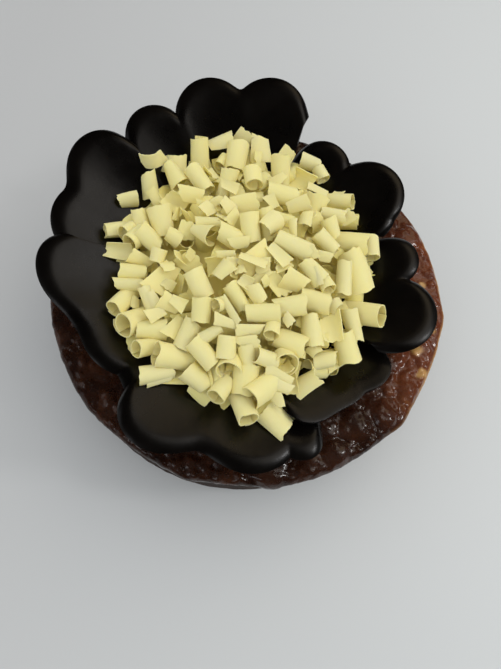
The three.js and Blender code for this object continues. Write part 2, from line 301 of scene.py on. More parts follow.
def petalPoint(petal, across, along):
    middle, half = (petal["from"] + petal["to"]) / 2, (petal["to"] - petal["from"]) / 2
    inner = flower["innerRadius"]
    reach = petalReach(petal, middle + half * across) - flower["corner"] * across**12
    radius = inner + (reach - inner) * along
    sideways = across * (1 + flower["round"] / (radius * math.radians(half)))
    foot = flower["footWidth"]
    angle = middle + half * sideways * (foot + (1 - foot) * smoothStep(0, 0.7, along))
    outward = smoothStep(inner, flower["startRadius"], radius)
    furthest = max(lobe[1] for lobe in petal["lobes"])
    notch = min(flower["deepest"], furthest - reach) * (1 - across**4)
    cup = flower["cup"] * (1 if across < 0 else flower["farCup"])
    lip = max(0, 1 - (1 - along) * (reach - inner) / flower["lipWidth"])
    lift = cup * across**2 - petal.get("tilt", flower["tilt"]) * across + flower["crease"] * notch * along
    z = bowlHeight(radius, angle) + lift * outward - petal.get("drop", flower["lipDrop"]) * lip**2
    long, wide = flower["waveLength"]
    wave = flower["wave"] * noise.noise(Vector((radius / long, angle / wide, petal["from"]))) * outward
    return polar(radius, angle, z + wave)


def makeChocolate():
    material, tree, shader = newMaterial("dark_chocolate", Roughness=0.3, IOR=1.45)
    place = addNode(tree, "ShaderNodeTexCoord").outputs["Object"]
    cloud = noiseNode(tree, place, 60, 4, 0.6)
    speck = noiseNode(tree, place, 900, 2, 0.6)
    deep = rampNode(tree, cloud, (0.3, (0.0016, 0.0011, 0.0008)), (0.7, (0.0034, 0.0022, 0.0014)))
    tree.links.new(deep, shader.inputs["Base Color"])
    dull = rampNode(tree, cloud, (0.3, 0.24), (0.75, 0.36))
    tree.links.new(dull, shader.inputs["Roughness"])
    soft = bumpNode(tree, noiseNode(tree, place, 140, 2, 0.5), 0.25, 0.35)
    tree.links.new(bumpNode(tree, speck, 0.03, 0.3, soft), shader.inputs["Normal"])
    return material


def makePetal(name, petal):
    def place(u, v):
        return petalPoint(petal, u, (v + 1) / 2)

    piece = shapedGrid("chocolate_" + name, flower["columns"], flower["rows"], place)
    applyModifier(piece, "SOLIDIFY", thickness=flower["thickness"] * mm, offset=0, use_even_offset=True)
    applyModifier(
        piece, "BEVEL", width=flower["round"] * mm, segments=3, limit_method="ANGLE",
        angle_limit=math.radians(50),
    )
    shadeSmooth(piece)
    return piece


chocolate = makeChocolate()
petals = []
for name, petal in flower["petals"].items():
    piece = makePetal(name, petal)
    dressPiece(piece, chocolate, "dark_chocolate", name)
    petals.append(piece)
print("petals made:", len(petals))


# the glaze, lumpy with nuts

glaze = {
    "sectors": 660,
    "runs": [(4, 0.9), (-31, 1.2), (-71, 0.8), (-94, 1.1), (152, 0.8), (68, 0.7)],
    "runWidth": 4,
    "bulges": [(0, 1.9, 40), (-127, -1.2, 25)],
    "nutCount": 42,
    "nutSeed": 7,
    "nutSize": (3.1, 5.4),
    "nutRing": (56, 76.5),
    "nutNarrow": (0.75, 1),
    "nutSink": (0.12, 0.37),
    "nutRise": 0.62,
    "crowded": 0.62,
    "crowdedSide": (-78, 14),
    "thinSide": (14, 282),
    # small bits of nut between them, most of them on the front right
    "bitSeed": 31,
    "bitCount": 900,
    "bitSize": (0.9, 2.2),
    "bitHeight": 0.52,
    "bitRing": (54, 79.2),
    "bitNarrow": (0.6, 1),
    "bitCrowdedSide": (-98, -10),
    "bitThinSide": (-10, 262),
    # how far the glaze spreads over a lump, and how square it is
    "coating": 1.12,
    "squareness": 2.6,
    "fine": 0.3,
    "small": 0.14,
    # golden nuts near the rim: x, y, half their width
    "golden": [
        (75.6, -21, 2.4), (72.2, -11.5, 2.6), (71.4, 18.3, 1.7), (75.4, 9, 1.6), (77.5, -1.2, 1.8),
    ],
    # where the glaze is thin, on the lit right side: its redder, lighter colour is partly the thin
    # glaze's own and partly painted glow of light coming through it; the middle direction, half the
    # angle, from radius
    "thinAndGlowing": (6, 44, 62),
}


def between(ends, share):
    return ends[0] + (ends[1] - ends[0]) * share


def seededNumbers(seed):
    state = seed
    while True:
        state = (state * 1664525 + 1013904223) % 4294967296
        yield state / 4294967296


def glazeReach(angle):
    turn = math.radians(angle)
    reach = cake["radius"] + 0.35 * math.sin(5 * turn) + 0.25 * math.sin(11 * turn + 1)
    for direction, size, wide in glaze["bulges"]:
        reach += size * math.exp(-((turnBetween(direction, angle) / wide) ** 2))
    for direction, size in glaze["runs"]:
        reach += size * math.exp(-((turnBetween(direction, angle) / glaze["runWidth"]) ** 2))
    return reach


def placeNuts():
    # the large nuts lie where the plain solid has them
    numbers = seededNumbers(glaze["nutSeed"])
    nuts = []
    for _ in range(glaze["nutCount"]):
        side = glaze["crowdedSide"] if next(numbers) < glaze["crowded"] else glaze["thinSide"]
        angle = between(side, next(numbers))
        radius = between(glaze["nutRing"], math.sqrt(next(numbers)))
        size = between(glaze["nutSize"], next(numbers))
        narrow = between(glaze["nutNarrow"], next(numbers))
        turn = 2 * math.pi * next(numbers)
        sink = size * between(glaze["nutSink"], next(numbers))
        x, y, _z = polar(radius, angle, 0)
        nuts.append((x, y, size, narrow, turn, glaze["nutRise"] * size - sink))
    return nuts


def placeBits():
    chance = random.Random(glaze["bitSeed"])
    bits = []
    for _ in range(glaze["bitCount"]):
        side = glaze["bitCrowdedSide"] if chance.random() < glaze["crowded"] else glaze["bitThinSide"]
        angle = between(side, chance.random())
        radius = between(glaze["bitRing"], math.sqrt(chance.random()))
        size = between(glaze["bitSize"], chance.random() ** 1.5)
        x, y, _z = polar(radius, angle, 0)
        narrow, turn = between(glaze["bitNarrow"], chance.random()), math.pi * chance.random()
        bits.append((x, y, size, narrow, turn, glaze["bitHeight"] * size))
    return bits


def lumpRise(points, lumps):
    # the height that the lumps add at each point, coated softly
    rise = np.zeros(len(points))
    square = glaze["squareness"]
    for x, y, size, narrow, turn, height in lumps:
        dx, dy = points[:, 0] - x, points[:, 1] - y
        along = (dx * math.cos(turn) + dy * math.sin(turn)) / (glaze["coating"] * size)
        across = (-dx * math.sin(turn) + dy * math.cos(turn)) / (glaze["coating"] * size * narrow)
        corner = (np.abs(along) ** square + np.abs(across) ** square) ** (1 / square)
        rise = np.maximum(rise, height * np.clip(1 - corner**2.2, 0, 1) ** 0.8)
    return rise


def makeGlazeMaterial():
    material, tree, shader = newMaterial(
        "nut_glaze", Roughness=0.25, IOR=1.36, Coat_Weight=0.6, Coat_Roughness=0.05,
        Subsurface_Weight=0.12, Subsurface_Radius=(1.0, 0.35, 0.12), Subsurface_Scale=0.002,
    )
    place = addNode(tree, "ShaderNodeTexCoord").outputs["Object"]
    cloud = noiseNode(tree, place, 95, 5, 0.6, 0.4)
    brown = rampNode(
        tree, cloud,
        (0.3, (0.01, 0.0035, 0.002)), (0.5, (0.024, 0.008, 0.0038)), (0.72, (0.052, 0.018, 0.008)),
    )
    # a redder, lighter brown for the thin glaze on the lit right side, partly painted glow of light
    # coming through it
    red = rampNode(
        tree, cloud,
        (0.35, (0.11, 0.028, 0.012)), (0.6, (0.16, 0.045, 0.017)), (0.75, (0.3, 0.11, 0.035)),
    )
    nut = mixNode(tree, 0.5, brown, (0.03, 0.0115, 0.006))
    withNuts = mixNode(tree, valueOf(tree, "nut"), brown, nut)
    thinAndGlowing = mixNode(tree, valueOf(tree, "thinAndGlowing"), withNuts, red)
    # gold for the golden nuts near the rim, and painted glow along the rim on the lit right side
    goldAndRimGlow = rampNode(tree, cloud, (0.35, (0.42, 0.2, 0.06)), (0.7, (0.6, 0.38, 0.14)))
    tree.links.new(mixNode(tree, valueOf(tree, "goldAndRimGlow"), thinAndGlowing, goldAndRimGlow), shader.inputs["Base Color"])
    tree.links.new(rampNode(tree, valueOf(tree, "rim"), (0, 0.6), (0.6, 0)), shader.inputs["Coat Weight"])
    dull = rampNode(tree, noiseNode(tree, place, 260, 3), (0.35, 0.16), (0.7, 0.34))
    tree.links.new(dull, shader.inputs["Roughness"])
    coarse = bumpNode(tree, noiseNode(tree, place, 420, 4, 0.6, 0.3), 0.7, 0.6)
    grain = bumpNode(tree, noiseNode(tree, place, 1300, 3), 0.15, 0.5, coarse)
    tree.links.new(grain, shader.inputs["Normal"])
    return material


def makeGlaze():
    height, depth = cake["height"], cake["glazeDepth"]
    # (share of the reach, height below the top) from the middle out, down the side and back under
    top = [(share, cake["crown"] * (1 - share)) for share in [0, 0.2, 0.4, 0.55]]
    top += [(share, -0.1 * smoothStep(0.8, 0.97, share)) for share in np.linspace(0.6, 0.972, 52)]
    side = [(0.982, -0.3), (0.99, -0.6), (0.996, -1.1), (1, -1.8), (1, -2.8), (0.999, -3.8)]
    side += [(0.998, -4.6), (0.997, -5.4), (0.996, -6.2), (0.994, -6.8), (0.99, -depth)]
    under = [(0.8, -depth), (0.4, -depth), (0, -depth)]
    profile = top + side + under

    def place(angle, ring):
        share, drop = profile[ring]
        return polar(share * glazeReach(angle), angle, height + drop)

    piece = shapedRound("glaze_with_nuts", glaze["sectors"], len(profile) - 1, place)
    points = np.empty(len(piece.data.vertices) * 3)
    piece.data.vertices.foreach_get("co", points)
    points = points.reshape(-1, 3) / mm
    radius = np.hypot(points[:, 0], points[:, 1])
    nuts, bits = lumpRise(points, placeNuts()), lumpRise(points, placeBits())
    onTop = np.clip((points[:, 2] - (height - 3.2)) / 3, 0, 1)
    fine = np.array([noise.noise(Vector(point) / 2.6) for point in points])
    small = np.array([noise.noise(Vector(point) / 1.2) for point in points])
    betweenNuts = 1 - 0.6 * np.clip(nuts, 0, 1)
    rise = (nuts + bits * betweenNuts + glaze["fine"] * fine + glaze["small"] * small) * onTop
    points[:, 2] += rise * (points[:, 2] > height - depth + 0.5)
    onSide = (1 - onTop) * (radius > 70) * (points[:, 2] > height - 6.5)
    swell = (0.5 * nuts + 0.35 * bits + 0.25 * fine) * onSide
    points[:, :2] *= (1 + swell / np.maximum(radius, 1))[:, None]
    piece.data.vertices.foreach_set("co", (points * mm).ravel())
    piece.data.update()
    angles = np.degrees(np.arctan2(points[:, 1], points[:, 0]))
    # on the lit right side the outer glaze is painted redder and lighter: partly thin glaze, partly
    # painted glow of light through it
    middle, half, inner = glaze["thinAndGlowing"]
    spots = np.array([noise.noise(Vector((point[0], point[1], 40)) / 7) for point in points])
    side = np.clip(2 - 2 * np.abs(angles - middle) / half, 0, 1)
    thinAndGlowing = side * np.clip((radius - inner) / 6 + spots, 0, 1)
    rim = np.clip((radius / np.array([glazeReach(angle) for angle in angles]) - 0.984) / 0.014, 0, 1)
    # a golden line along the rim on the lit right side: painted glow of light through the thin glaze edge
    goldAndRimGlow = side * rim * np.clip(0.9 + spots, 0, 1)
    # the golden nuts near the rim are their own colour
    for x, y, size in glaze["golden"]:
        away = np.hypot(points[:, 0] - x, points[:, 1] - y) / size
        goldAndRimGlow = np.maximum(goldAndRimGlow, np.clip(1.2 - away**2 + 0.8 * fine, 0, 0.95))
    pointValues(piece, "thinAndGlowing", thinAndGlowing)
    pointValues(piece, "goldAndRimGlow", goldAndRimGlow)
    pointValues(piece, "rim", rim)
    pointValues(piece, "nut", np.clip(nuts / 2, 0, 1))
    shadeSmooth(piece)
    return piece


glazePiece = makeGlaze()
dressPiece(glazePiece, makeGlazeMaterial(), "glaze", "nut_glaze")
print("glaze made")


# the baked base

base = {"inset": 1, "edge": 2, "sectors": 360, "sideRings": 30, "relief": 0.5}


def makeCrumb():
    material, tree, shader = newMaterial("brownie_crumb", Roughness=0.75, IOR=1.4)
    place = addNode(tree, "ShaderNodeTexCoord").outputs["Object"]
    cloud = noiseNode(tree, place, 130, 6, 0.65)
    dark = rampNode(
        tree, cloud,
        (0.3, (0.018, 0.0075, 0.0045)), (0.55, (0.042, 0.018, 0.01)), (0.75, (0.085, 0.04, 0.022)),
    )
    tree.links.new(dark, shader.inputs["Base Color"])
    pores = addNode(tree, "ShaderNodeTexVoronoi", feature="SMOOTH_F1")
    pores.inputs["Scale"].default_value = 420
    tree.links.new(place, pores.inputs["Vector"])
    crumb = bumpNode(tree, pores.outputs["Distance"], 0.5, 0.5)
    rough = bumpNode(tree, noiseNode(tree, place, 700, 5, 0.7), 0.6, 0.7, crumb)
    tree.links.new(rough, shader.inputs["Normal"])
    return material


def makeBase():
    side = cake["radius"] - base["inset"]
    top = cake["height"] - cake["glazeDepth"] - cake["gap"]
    profile = [(0, top), (0.5 * side, top), (side - 1.5, top)]
    profile += [(side, z) for z in np.linspace(top - 0.6, base["edge"], base["sideRings"])]
    profile += [(side - 0.4, 0.4), (side - base["edge"], 0), (0.5 * side, 0), (0, 0)]

    def place(angle, ring):
        radius, z = profile[ring]
        if 2 < ring < len(profile) - 3:
            around = Vector(polar(side, angle, z))
            crags = noise.noise(around / 3.1) + 0.6 * noise.noise(around / 1.4)
            radius -= base["relief"] * (0.55 + 0.45 * crags)
        return polar(radius, angle, z)

    piece = shapedRound("baked_base", base["sectors"], len(profile) - 1, place)
    shadeSmooth(piece)
    return piece


basePiece = makeBase()
dressPiece(basePiece, makeCrumb(), "brownie", "brownie_base")
print("base made")


# the heap of white chocolate curls

heap = {
    "height": 34,
    "drop": 15,
    "radius": 54,
    "swell": [(3.6, 1, 183), (3.2, 2, 114), (1.5, 3, 33)],
    "coreInset": 11,
    "coreDepth": 14,
    "step": 0.6,
    "span": 84,
    "bridge": 6,
    "sink": 0.36,
    "press": 1.5,
    "swollen": 1.05,
    "steepest": 0.8,
    # how loose curls lie: the share with their hollow down, and the share that stands up
    "loose": {"hollow": 0.6, "roll": 40, "upright": 0.2, "uprightPitch": (35, 80), "pitch": 20},
    "topSeed": 9,
    "toneSeed": 3,
    # the curls inside the heap, the small pieces between those on top, and some in its middle
    "fill": {
        "seed": 12, "trials": 420, "places": 6, "size": (0.8, 1.1), "depth": 5, "inset": 3, "over": 0.5,
    },
    "chips": {
        "seed": 4, "trials": 170, "places": 16, "size": (0.6, 0.9), "depth": 0.5, "inset": 4, "over": 0,
    },
    "middle": {
        "seed": 6, "trials": 10, "places": 24, "size": (0.7, 0.95), "depth": 0.5, "inset": 38, "over": 2,
    },
    "fillShares": [("tube", 0.3), ("scroll", 0.6), ("shell", 0.85), ("flake", 1)],
    "chipShares": [("tube", 0.1), ("scroll", 0.4), ("shell", 0.75), ("flake", 1)],
    # how deep the middle of a curl lies under the heap's top, in its own widths
    "depths": {"tube": 0.5, "cone": 0.5, "scroll": 0.45, "shell": 0.35, "flake": 0.2},
    # the curls on top: kind, x, y, the axis's direction and pitch, roll, length, width
    "topCurls": [
        ("shell", -47.1, 30.3, 129, 76, -12, 6, 10.1), ("shell", -52.0, 13.0, -150, 3, -46, 8, 6.2),
        ("shell", -40.0, 34.1, 94, 38, 10, 8, 9.6), ("tube", -31.3, 41.6, 106, 43, -1, 13, 7.3),
        ("shell", -24.9, 49.1, 24, 14, -15, 11, 8.1), ("tube", -21.7, 41.1, -109, -3, -22, 5, 5.2),
        ("flake", -16.1, 52.9, 46, 29, 31, 9, 8.2), ("scroll", -45.9, 21.1, 112, 37, 1, 11, 6.2),
        ("scroll", -17.1, 26.3, -93, -36, 2, 11, 6.5), ("flake", -8.0, 51.0, 106, 40, -7, 11, 9.0),
        ("flake", 2.8, 51.0, 67, 38, 15, 8, 6.5), ("flake", -7.0, 43.6, 106, 38, -7, 6, 7.4),
        ("scroll", 13.4, 51.4, -7, -3, 40, 10, 6.2), ("shell", 11.5, 39.5, -18, 10, -141, 10, 8.0),
        ("tube", 18.2, 47.3, -53, -5, 28, 6, 5.4), ("tube", 2.1, 40.5, 107, 41, -10, 13, 7.2),
        ("shell", -41.4, 15.2, 142, 32, 14, 9, 4.6), ("cone", -38.2, 27.8, -46, -8, 16, 11, 7.8),
        ("tube", -27.3, 26.3, -44, -2, 21, 12, 6.2), ("tube", -16.8, 43.0, -85, -16, -3, 12, 8.1),
        ("tube", -7.5, 30.8, -70, 1, 11, 7, 6.5), ("shell", -34.0, 14.6, -16, -16, -157, 9, 7.6),
        ("flake", -28.2, 16.6, 8, -6, 35, 10, 6.0), ("flake", -21.2, 13.0, -6, -13, 52, 9, 4.4),
        ("tube", -52.4, 0.0, -149, 15, 136, 10, 5.7), ("scroll", -43.9, 3.3, -57, -33, 3, 10, 6.3),
        ("tube", -48.0, -0.6, -119, 24, -35, 6, 5.6), ("tube", -44.0, -3.2, -116, 14, -30, 8, 6.6),
        ("scroll", -36.5, 4.5, -63, -27, 2, 12, 8.5), ("scroll", -38.7, -3.6, -24, -25, 19, 11, 6.9),
        ("shell", -49.4, -8.7, 3, 3, -137, 10, 6.3), ("flake", -40.0, -11.4, -9, -19, 22, 9, 5.5),
        ("tube", -41.4, -16.1, -166, 9, -27, 10, 5.4), ("tube", -33.4, -9.4, 88, 27, 13, 5, 5.4),
        ("shell", -7.8, 23.8, 13, 4, -24, 12, 5.3), ("flake", -13.1, 12.8, -40, -27, 21, 7, 5.2),
        ("flake", -7.2, 16.1, 13, 4, 35, 11, 8.8), ("scroll", 5.2, 26.4, 2, 2, 16, 13, 7.6),
        ("shell", 17.0, 27.1, -98, -25, 18, 9, 9.6), ("flake", 11.6, 22.8, 27, 20, 31, 9, 5.6),
        ("tube", 27.8, 34.4, -7, 29, 41, 11, 6.0), ("scroll", 25.5, 24.4, -5, 4, 26, 10, 5.7),
        ("flake", 30.7, 24.8, 35, 28, 24, 8, 5.4), ("shell", 19.9, 20.0, -137, 12, -27, 6, 7.6),
        ("scroll", 25.5, 17.0, -53, -25, 25, 9, 6.0), ("tube", 24.7, 10.4, -30, -12, 31, 10, 5.9),
        ("scroll", 34.8, 15.8, -4, 11, 33, 13, 9.2), ("tube", 43.1, 18.1, -75, -1, 21, 9, 6.7),
        ("shell", 7.6, 16.4, -5, 12, -5, 9, 7.0), ("shell", 11.2, 10.4, -70, -25, 72, 9, 4.0),
        ("scroll", 1.9, 10.7, -63, -31, 13, 13, 5.8), ("tube", -3.7, 7.4, -69, -31, 9, 11, 6.5),
        ("flake", -25.6, 2.2, 71, 26, 18, 8, 7.3), ("scroll", -19.1, 6.4, 15, 1, 13, 10, 4.7),
        ("cone", -20.0, 1.2, -19, 19, 31, 9, 7.2), ("scroll", -10.3, 1.5, 179, 30, -33, 10, 7.1),
        ("flake", -5.8, -0.6, 22, 9, 30, 8, 4.2), ("shell", -11.0, -8.4, 25, 14, -143, 11, 7.2),
        ("flake", -9.5, -6.0, 14, 2, 39, 7, 3.2), ("tube", 13.0, 4.4, -11, -4, 31, 14, 6.5),
        ("flake", 19.2, 1.4, 37, 24, 21, 6, 5.0), ("flake", 24.8, 2.5, 0, 7, 31, 6, 3.9),
        ("flake", -22.3, -9.0, 33, 8, 27, 9, 7.6), ("flake", -29.5, -17.4, 63, 17, 21, 13, 10.6),
        ("flake", 1.6, -5.1, 50, 22, 19, 13, 10.2), ("flake", 11.1, -4.0, 94, 29, 46, 10, 3.6),
        ("scroll", -41.0, -21.8, -166, 10, -45, 11, 4.6), ("tube", -42.1, -26.8, -107, 20, -25, 12, 6.5),
        ("scroll", -33.0, -25.8, -48, -25, 45, 9, 5.6), ("flake", -30.1, -26.6, -43, -23, 8, 7, 3.8),
        ("flake", -37.2, -27.2, 94, 22, 12, 5, 3.2), ("tube", -36.1, -33.5, -128, 33, -28, 11, 8.2),
        ("flake", -28.1, -31.2, 35, 3, 22, 7, 5.3), ("scroll", -28.4, -36.2, 16, -6, 21, 11, 7.3),
        ("flake", -24.0, -26.8, -12, -15, 19, 9, 6.6), ("flake", -20.8, -33.6, 63, 14, 16, 9, 6.6),
        ("scroll", -15.5, -36.0, 83, 18, 9, 12, 7.5), ("tube", -29.1, -42.0, -141, 34, -24, 9, 5.9),
        ("tube", -19.3, -43.4, -168, 26, -19, 13, 8.3), ("scroll", -22.9, -50.4, -153, 11, -17, 12, 6.1),
        ("flake", -21.1, -52.3, 25, -3, 26, 10, 3.7), ("tube", -16.1, -18.4, -48, -24, 11, 11, 6.6),
        ("tube", -13.1, -27.3, -81, -23, -3, 9, 6.5), ("tube", -7.5, -24.5, -133, 25, -24, 4, 4.8),
        ("tube", -2.2, -20.1, -43, -19, 16, 11, 5.2), ("flake", -3.3, -26.4, -42, -18, 35, 11, 3.0),
        ("shell", -0.4, -15.2, -19, 1, -155, 5, 4.4), ("shell", 3.9, -18.5, -46, -13, 27, 8, 5.8),
        ("flake", 9.9, -10.8, -29, -13, -176, 13, 6.0), ("flake", 15.9, -9.4, -16, -5, 27, 9, 8.1),
        ("scroll", 21.1, -4.1, -35, -13, 57, 10, 6.7), ("shell", 37.7, 4.3, -60, -22, 23, 17, 12.0),
        ("tube", 33.9, -0.8, -82, -7, 13, 14, 5.5), ("shell", 23.1, -6.1, -56, -15, 60, 7, 3.9),
        ("tube", 27.3, -6.6, -57, 12, 24, 6, 5.0), ("flake", -3.7, -30.4, -5, -5, 21, 9, 4.4),
        ("scroll", -7.8, -34.5, 43, 10, -2, 8, 4.4), ("flake", 4.5, -30.9, 13, 5, 21, 10, 4.4),
        ("flake", 5.1, -34.7, 13, 4, 19, 9, 4.4), ("tube", 16.4, -18.9, 18, 12, 22, 12, 6.9),
        ("tube", 7.8, -23.8, -168, -6, -23, 12, 6.1), ("scroll", 25.1, -13.9, 0, 7, 26, 11, 7.8),
        ("shell", 32.1, -12.9, -42, 22, 29, 4, 6.0), ("tube", 44.7, -9.8, -14, 37, 31, 15, 8.2),
        ("scroll", 39.6, -16.7, -61, -16, 51, 13, 6.2), ("shell", 32.8, -20.9, -62, -11, -161, 11, 8.1),
        ("tube", 12.0, -28.4, -89, 15, 3, 6, 5.1), ("flake", 16.6, -24.4, -45, -14, 19, 5, 3.7),
        ("shell", 28.0, -30.4, -54, 12, 20, 4, 5.2), ("cone", 25.5, -23.9, -71, -20, 14, 12, 8.0),
        ("scroll", 19.2, -30.6, -13, 0, 21, 11, 8.6), ("tube", 39.9, -25.0, -61, -14, 20, 12, 7.9),
        ("scroll", 32.7, -32.3, 20, 16, 15, 9, 6.0), ("tube", -1.8, -37.6, -81, -19, 0, 8, 6.4),
        ("tube", -8.9, -40.9, -35, -14, 11, 11, 6.4), ("scroll", 5.9, -39.2, -71, -17, 6, 8, 6.1),
        ("tube", 11.9, -38.0, -177, 28, -21, 8, 5.4), ("scroll", -8.7, -48.9, -25, -11, 11, 11, 7.8),
        ("tube", -0.2, -50.8, -108, 21, -7, 9, 6.1), ("tube", 0.7, -43.0, -86, 32, -1, 7, 8.2),
        ("scroll", 7.0, -46.1, -87, -15, 1, 11, 8.8), ("tube", 19.0, -37.0, -63, 40, 21, 5, 7.9),
        ("shell", 27.7, -40.6, 42, 47, -31, 11, 9.4), ("flake", 17.9, -42.7, -17, -1, 37, 11, 5.7),
        ("flake", 20.5, -45.9, -8, 3, 16, 6, 4.4), ("flake", 19.2, -50.0, -56, -9, 12, 6, 4.4),
        ("tube", 8.9, -54.7, -60, 20, 8, 11, 7.5), ("tube", 13.7, -47.3, -129, 17, -8, 14, 8.2),
        ("shell", 20.6, -55.8, -37, -3, 13, 12, 9.3),
    ],
}

curl = {
    "seed": 5,
    "variants": 6,
    "thickness": 0.36,
    "ragged": 0.16,
    "oval": 0.09,
    "sharp": 42,
    # how deep in the heap a curl takes on the deeper yellow, which is painted shade of the heap's depths
    "shadeDepth": 9,
    "kinds": {
        "tube": {"radius": (3, 3.6), "length": (10, 12), "arc": (350, 450), "corner": 0.16, "bow": 0.1,
                 "cone": 0.06, "drift": 0.9, "columns": 18, "rows": 3},
        "cone": {"radius": (3, 3.6), "length": (10, 12), "arc": (300, 380), "corner": 0.15, "bow": 0.1,
                 "cone": 0.4, "drift": 0.9, "columns": 16, "rows": 3},
        "scroll": {"radius": (3.3, 4.2), "length": (9.5, 11.5), "arc": (210, 290), "corner": 0.3,
                   "bow": 0.08, "cone": 0.15, "drift": 0.7, "columns": 13, "rows": 3},
        "shell": {"radius": (4, 5.2), "length": (8.5, 11), "arc": (140, 200), "corner": 0.42, "bow": 0.1,
                  "cone": 0.2, "drift": 0.5, "columns": 10, "rows": 3},
        "flake": {"radius": (4.5, 8), "length": (8, 10), "arc": (65, 115), "corner": 0.62, "bow": 0.08,
                  "cone": 0.2, "drift": 0.3, "columns": 7, "rows": 3},
    },
}


def curlPoint(form, u, v):
    # u runs round the roll and v along its axis; the strip's corners are pulled about
    corners = [
        ((1 - u) * (1 - v), 0), ((1 + u) * (1 - v), 1), ((1 - u) * (1 + v), 2), ((1 + u) * (1 + v), 3),
    ]
    around = u + sum(share * form["corners"][index][0] for share, index in corners) / 4
    along = v + sum(share * form["corners"][index][1] for share, index in corners) / 4
    around += form["bow"] * u * (1 - v * v)
    along += form["bow"] * v * (1 - u * u)
    along += curl["ragged"] * noise.noise(Vector((3 * u, v, form["key"]))) * v
    around += curl["ragged"] * noise.noise(Vector((u, 3 * v, form["key"] + 50))) * u
    turn = form["arc"] / 2 * around
    radius = (form["radius"] + form["spiral"] * u) * (1 + form["cone"] * v)
    radius *= 1 + form["oval"] * math.cos(2 * turn + form["key"])
    x = form["length"] / 2 * along + form["drift"] * u
    return x, radius * math.sin(turn), radius * math.cos(turn)


def makeTemplate(kind, key, chance):
    span = curl["kinds"][kind]
    form = {
        "key": key,
        "radius": between(span["radius"], chance.random()),
        "length": between(span["length"], chance.random()),
        "arc": math.radians(between(span["arc"], chance.random())),
        "corners": [
            [span["corner"] * chance.uniform(-1, 0.4 if side else 1) for side in (0, 1)] for _ in range(4)
        ],
        "bow": span["bow"] * chance.uniform(-0.4, 1),
        "cone": span["cone"] * chance.choice((-1, 1)) * chance.uniform(0.4, 1),
        "drift": span["drift"] * chance.uniform(-1, 1),
        "oval": chance.uniform(0, curl["oval"]),
    }
    for corner, (side, end) in zip(form["corners"], ((-1, -1), (1, -1), (-1, 1), (1, 1))):
        corner[0], corner[1] = -abs(corner[0]) * side * (kind != "tube"), corner[1] * end
    form["spiral"] = 0.5 * form["arc"] / (2 * math.pi) if form["arc"] > 6 else 0.3 * chance.random()
    steps = [(u, v) for u in np.linspace(-1, 1, 36) for v in np.linspace(-1, 1, 14)]
    points = np.array([curlPoint(form, u, v) for u, v in steps])
    middle = Vector(points.mean(axis=0))

    def place(u, v):
        return Vector(curlPoint(form, u, v)) - middle

    piece = shapedGrid(kind, span["columns"], span["rows"], place)
    applyModifier(piece, "SOLIDIFY", thickness=curl["thickness"] * mm, offset=0)
    bpy.ops.object.shade_smooth_by_angle(angle=math.radians(curl["sharp"]))
    skin = points - points.mean(axis=0)
    return {"kind": kind, "piece": piece, "skin": skin, "size": np.ptp(skin, axis=0)}


def makeTemplates():
    chance = random.Random(curl["seed"])
    return {
        kind: [makeTemplate(kind, 10 * index + number, chance) for number in range(curl["variants"])]
        for index, kind in enumerate(curl["kinds"])
    }


def heapEdge(angle):
    return heap["radius"] + sum(
        size * math.cos(math.radians(waves * (angle - direction)))
        for size, waves, direction in heap["swell"]
    )


def heapTop(x, y):
    edge = heapEdge(math.degrees(math.atan2(y, x)))
    return cake["height"] + heap["height"] - heap["drop"] * (math.hypot(x, y) / edge) ** 2


def coreRise(x, y, floor, share):
    return max(0.8, (heapTop(x, y) - heap["coreDepth"] - floor) * (1 - share**6))


def makeCore(floorAt):
    shares = [0, 0.15, 0.3, 0.45, 0.6, 0.72, 0.82, 0.9, 0.96, 1]
    profile = [(share, True) for share in shares] + [(share, False) for share in reversed(shares)]

    def place(angle, ring):
        share, upper = profile[ring]
        x, y, _z = polar(share * (heapEdge(angle) - heap["coreInset"]), angle, 0)
        floor = floorAt(x, y) + 1
        return x, y, floor + (coreRise(x, y, floor, share) if upper else 0)

    return shapedRound("curl_core", 96, len(profile) - 1, place)


def spreadCells(height, reach, pick):
    for axis in (0, 1):
        height = pick([np.roll(height, shift, axis) for shift in range(-reach, reach + 1)], axis=0)
    return height


